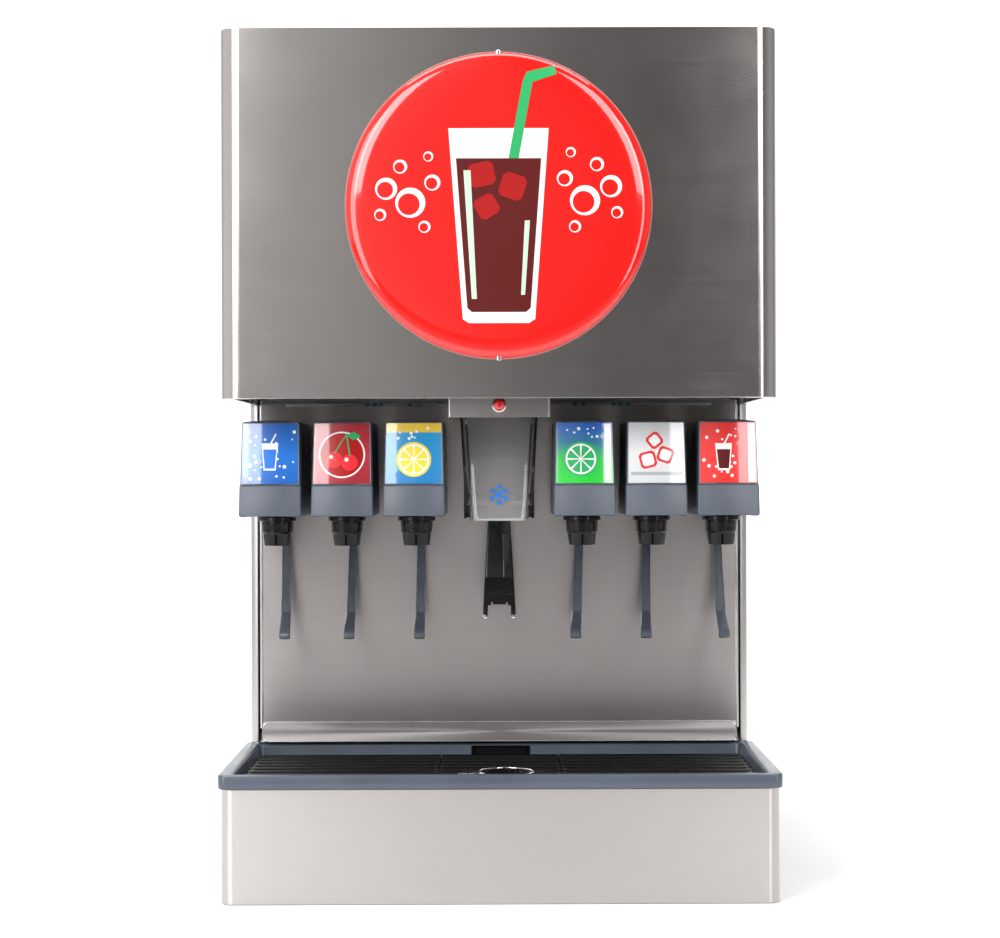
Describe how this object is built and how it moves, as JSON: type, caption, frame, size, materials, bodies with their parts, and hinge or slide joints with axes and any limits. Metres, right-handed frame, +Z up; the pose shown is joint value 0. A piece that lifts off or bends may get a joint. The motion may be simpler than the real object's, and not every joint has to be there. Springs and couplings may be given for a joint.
{
  "type": "countertop ice and soda dispenser",
  "caption": "Stainless countertop dispenser with a row of soda valves either side of an ice chute, lift-off hood, drip tray and insulated ice bin.",
  "frame": {"origin": "middle of the overall box in plan, on the counter the base stands on", "axes": "+X to the machine's right as seen from the front, +Y to the back so the valves face -Y, +Z up"},
  "size_m": [0.5638, 0.778, 0.876],
  "materials": {
    "stainless": "brushed",
    "aluminium": "cast",
    "motor_paint": "satin",
    "white_plastic": "matt",
    "red_gloss": "gloss",
    "lamp_lens": "gloss",
    "tray_plastic": "satin",
    "clear_plastic": "clear",
    "cover_plastic": "satin",
    "lever_plastic": "satin",
    "black_plastic": "satin"
  },
  "bodies": {
    "chassis": {"back_panel": "stainless", "base_pan": "stainless", "base_wrap": "stainless", "bin_liner": "white_plastic", "chassis_deck": "stainless", "chute_guard": "black_plastic", "cold_plate": "aluminium", "drain_pipe": "white_plastic", "electrical_box": "stainless", "gate_solenoid": "motor_paint", "gear_motor": "motor_paint", "ice_chute": "clear_plastic", "lamp_valance": "stainless", "pilot_lamp": "lamp_lens", "power_inlet": "black_plastic", "splash_lower": "stainless", "splash_upper": "stainless", "tower_wrap": "stainless", "valve_body_1": "black_plastic", "valve_body_2": "black_plastic", "valve_body_3": "black_plastic", "valve_body_4": "black_plastic", "valve_body_5": "black_plastic", "valve_body_6": "black_plastic", "valve_mount_1": "black_plastic", "valve_mount_2": "black_plastic", "valve_mount_3": "black_plastic", "valve_mount_4": "black_plastic", "valve_mount_5": "black_plastic", "valve_mount_6": "black_plastic"},
    "hood": {"hood_shell": "stainless", "hood_emblem": "red_gloss"},
    "lid": {"bin_lid": "black_plastic"},
    "tray": {"drip_tray": "tray_plastic"},
    "rest_left": {"cup_rest_left": "black_plastic"},
    "rest_middle": {"cup_rest_middle": "black_plastic"},
    "rest_right": {"cup_rest_right": "black_plastic"},
    "ice_drive": {"ice_wheel": "white_plastic", "agitator_shaft": "stainless"},
    "gate": {"ice_gate": "black_plastic"},
    "plunger": {"gate_plunger": "stainless"},
    "ice_lever": {"ice_lever": "black_plastic"},
    "cover_1": {"valve_cover_1": "cover_plastic"},
    "nozzle_1": {"nozzle_1": "black_plastic"},
    "lever_1": {"valve_lever_1": "lever_plastic"},
    "cover_2": {"valve_cover_2": "cover_plastic"},
    "nozzle_2": {"nozzle_2": "black_plastic"},
    "lever_2": {"valve_lever_2": "lever_plastic"},
    "cover_3": {"valve_cover_3": "cover_plastic"},
    "nozzle_3": {"nozzle_3": "black_plastic"},
    "lever_3": {"valve_lever_3": "lever_plastic"},
    "cover_4": {"valve_cover_4": "cover_plastic"},
    "nozzle_4": {"nozzle_4": "black_plastic"},
    "lever_4": {"valve_lever_4": "lever_plastic"},
    "cover_5": {"valve_cover_5": "cover_plastic"},
    "nozzle_5": {"nozzle_5": "black_plastic"},
    "lever_5": {"valve_lever_5": "lever_plastic"},
    "cover_6": {"valve_cover_6": "cover_plastic"},
    "nozzle_6": {"nozzle_6": "black_plastic"},
    "lever_6": {"valve_lever_6": "lever_plastic"}
  },
  "joints": [
    {"name": "hood_lift", "type": "slide", "parent": "chassis", "child": "hood", "axis": [0, 0, 1], "range_m": [0, 0.12]},
    {"name": "lid_lift", "type": "slide", "parent": "chassis", "child": "lid", "axis": [0, 0, 1], "range_m": [0, 0.1]},
    {"name": "tray_tilt", "type": "hinge", "parent": "chassis", "child": "tray", "pos_m": [0, -0.1335, 0.1296], "axis": [-1, 0, 0], "range_deg": [0, 20]},
    {"name": "rest_left_lift", "type": "slide", "parent": "tray", "child": "rest_left", "axis": [0, 0, 1], "range_m": [0, 0.05]},
    {"name": "rest_middle_lift", "type": "slide", "parent": "tray", "child": "rest_middle", "axis": [0, 0, 1], "range_m": [0, 0.05]},
    {"name": "rest_right_lift", "type": "slide", "parent": "tray", "child": "rest_right", "axis": [0, 0, 1], "range_m": [0, 0.05]},
    {"name": "ice_wheel_spin", "type": "hinge", "parent": "chassis", "child": "ice_drive", "pos_m": [0.075, 0.1, 0.56], "axis": [0, 1, 0], "continuous": true},
    {"name": "gate_swing", "type": "hinge", "parent": "chassis", "child": "gate", "pos_m": [0, -0.106, 0.653], "axis": [-1, 0, 0], "range_deg": [0, 40], "stiffness_Nm_per_rad": 0.5, "springref_deg": -8.59},
    {"name": "plunger_lift", "type": "slide", "parent": "chassis", "child": "plunger", "axis": [0, 0, 1], "range_m": [0, 0.0145]},
    {"name": "ice_lever_push", "type": "hinge", "parent": "chassis", "child": "ice_lever", "pos_m": [0, -0.158, 0.402], "axis": [1, 0, 0], "range_deg": [0, 12], "stiffness_Nm_per_rad": 0.8, "springref_deg": -6.88},
    {"name": "cover_1_pull", "type": "slide", "parent": "chassis", "child": "cover_1", "axis": [0, -1, 0], "range_m": [0, 0.1]},
    {"name": "nozzle_1_twist", "type": "hinge", "parent": "chassis", "child": "nozzle_1", "pos_m": [-0.2369, -0.2345, 0.36], "axis": [0, 0, 1], "range_deg": [0, 45]},
    {"name": "lever_1_push", "type": "hinge", "parent": "chassis", "child": "lever_1", "pos_m": [-0.2369, -0.166, 0.396], "axis": [1, 0, 0], "range_deg": [0, 10], "stiffness_Nm_per_rad": 0.5, "springref_deg": -6.88},
    {"name": "cover_2_pull", "type": "slide", "parent": "chassis", "child": "cover_2", "axis": [0, -1, 0], "range_m": [0, 0.1]},
    {"name": "nozzle_2_twist", "type": "hinge", "parent": "chassis", "child": "nozzle_2", "pos_m": [-0.1626, -0.2345, 0.36], "axis": [0, 0, 1], "range_deg": [0, 45]},
    {"name": "lever_2_push", "type": "hinge", "parent": "chassis", "child": "lever_2", "pos_m": [-0.1626, -0.166, 0.396], "axis": [1, 0, 0], "range_deg": [0, 10], "stiffness_Nm_per_rad": 0.5, "springref_deg": -6.88},
    {"name": "cover_3_pull", "type": "slide", "parent": "chassis", "child": "cover_3", "axis": [0, -1, 0], "range_m": [0, 0.1]},
    {"name": "nozzle_3_twist", "type": "hinge", "parent": "chassis", "child": "nozzle_3", "pos_m": [-0.0883, -0.2345, 0.36], "axis": [0, 0, 1], "range_deg": [0, 45]},
    {"name": "lever_3_push", "type": "hinge", "parent": "chassis", "child": "lever_3", "pos_m": [-0.0883, -0.166, 0.396], "axis": [1, 0, 0], "range_deg": [0, 10], "stiffness_Nm_per_rad": 0.5, "springref_deg": -6.88},
    {"name": "cover_4_pull", "type": "slide", "parent": "chassis", "child": "cover_4", "axis": [0, -1, 0], "range_m": [0, 0.1]},
    {"name": "nozzle_4_twist", "type": "hinge", "parent": "chassis", "child": "nozzle_4", "pos_m": [0.0883, -0.2345, 0.36], "axis": [0, 0, 1], "range_deg": [0, 45]},
    {"name": "lever_4_push", "type": "hinge", "parent": "chassis", "child": "lever_4", "pos_m": [0.0883, -0.166, 0.396], "axis": [1, 0, 0], "range_deg": [0, 10], "stiffness_Nm_per_rad": 0.5, "springref_deg": -6.88},
    {"name": "cover_5_pull", "type": "slide", "parent": "chassis", "child": "cover_5", "axis": [0, -1, 0], "range_m": [0, 0.1]},
    {"name": "nozzle_5_twist", "type": "hinge", "parent": "chassis", "child": "nozzle_5", "pos_m": [0.1626, -0.2345, 0.36], "axis": [0, 0, 1], "range_deg": [0, 45]},
    {"name": "lever_5_push", "type": "hinge", "parent": "chassis", "child": "lever_5", "pos_m": [0.1626, -0.166, 0.396], "axis": [1, 0, 0], "range_deg": [0, 10], "stiffness_Nm_per_rad": 0.5, "springref_deg": -6.88},
    {"name": "cover_6_pull", "type": "slide", "parent": "chassis", "child": "cover_6", "axis": [0, -1, 0], "range_m": [0, 0.1]},
    {"name": "nozzle_6_twist", "type": "hinge", "parent": "chassis", "child": "nozzle_6", "pos_m": [0.2369, -0.2345, 0.36], "axis": [0, 0, 1], "range_deg": [0, 45]},
    {"name": "lever_6_push", "type": "hinge", "parent": "chassis", "child": "lever_6", "pos_m": [0.2369, -0.166, 0.396], "axis": [1, 0, 0], "range_deg": [0, 10], "stiffness_Nm_per_rad": 0.5, "springref_deg": -6.88}
  ],
  "couplings": [
    {"joint": "plunger_lift", "follows": "gate_swing", "m_per_rad": 0.02}
  ]
}
